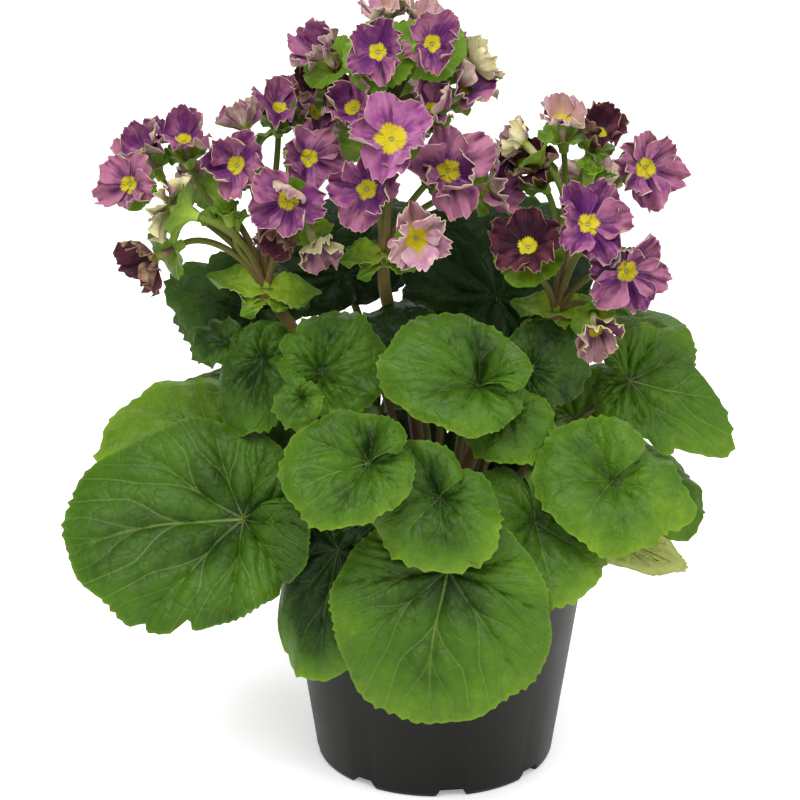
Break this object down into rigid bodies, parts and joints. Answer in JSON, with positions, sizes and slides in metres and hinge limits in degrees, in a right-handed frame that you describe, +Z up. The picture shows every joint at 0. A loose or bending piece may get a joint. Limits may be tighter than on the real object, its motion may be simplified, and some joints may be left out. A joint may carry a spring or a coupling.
{
  "type": "potted primrose",
  "caption": "Potted garden primrose: round plastic pot of soil, a rosette of round waved leaves on stalks, and upright stalks with heads of frilled violet flowers.",
  "frame": {"origin": "middle of the pot's flat underside, on the surface that the pot stands on", "axes": "+Z up along the pot's axis, -Y to the side that the flowers face, +X to the viewer's right"},
  "size_m": [0.2571, 0.1792, 0.3048],
  "materials": {
    "leaf_green": "slightly glossy, puckered, mid green",
    "petal_bright": "velvety, bright violet with a pale edge",
    "petal_burgundy": "velvety, dark burgundy with a pale edge",
    "petal_cream": "soft, cream-green back of the petals",
    "petal_pale": "soft, pale pink and cream",
    "petal_violet": "velvety, violet with a silvery cream edge",
    "pot_plastic": "matte, black-grey, moulded",
    "potting_soil": "loose, dark brown, rough",
    "stalk_green": "finely hairy, brown to fresh green"
  },
  "bodies": {
    "root": {"bloom_left_01": "petal_violet", "bloom_left_02": "petal_cream", "bloom_left_03": "petal_burgundy", "bloom_left_04": "petal_violet", "bloom_left_05": "petal_violet", "bloom_left_06": "petal_violet", "bloom_left_07": "petal_violet", "bloom_left_08": "petal_violet", "bloom_left_09": "petal_burgundy", "bloom_left_10": "petal_cream", "bloom_middle_01": "petal_violet", "bloom_middle_02": "petal_pale", "bloom_middle_03": "petal_bright", "bloom_middle_04": "petal_violet", "bloom_middle_05": "petal_violet", "bloom_middle_06": "petal_violet", "bloom_middle_07": "petal_violet", "bloom_middle_08": "petal_violet", "bloom_middle_09": "petal_violet", "bloom_middle_10": "petal_violet", "bloom_right_01": "petal_violet", "bloom_right_02": "petal_violet", "bloom_right_03": "petal_burgundy", "bloom_right_04": "petal_violet", "bloom_right_05": "petal_cream", "bloom_right_06": "petal_cream", "leaf_01": "leaf_green", "leaf_02": "leaf_green", "leaf_03": "leaf_green", "leaf_04": "leaf_green", "leaf_05": "leaf_green", "leaf_06": "leaf_green", "leaf_07": "leaf_green", "leaf_08": "leaf_green", "leaf_09": "leaf_green", "leaf_10": "leaf_green", "leaf_11": "leaf_green", "leaf_12": "leaf_green", "leaf_13": "leaf_green", "leaf_14": "leaf_green", "leaf_15": "leaf_green", "leaf_16": "leaf_green", "leaf_17": "leaf_green", "leaf_18": "leaf_green", "leaf_19": "leaf_green", "leaf_20": "leaf_green", "leaf_21": "leaf_green", "leaf_22": "leaf_green", "leaf_23": "leaf_green", "leaf_24": "leaf_green", "leaf_25": "leaf_green", "leaf_26": "leaf_green", "leaf_27": "leaf_green", "leaf_28": "leaf_green", "leaf_29": "leaf_green", "pot": "pot_plastic", "soil": "potting_soil", "stalk_left": "stalk_green", "stalk_middle": "stalk_green", "stalk_right": "stalk_green"}
  },
  "joints": []
}
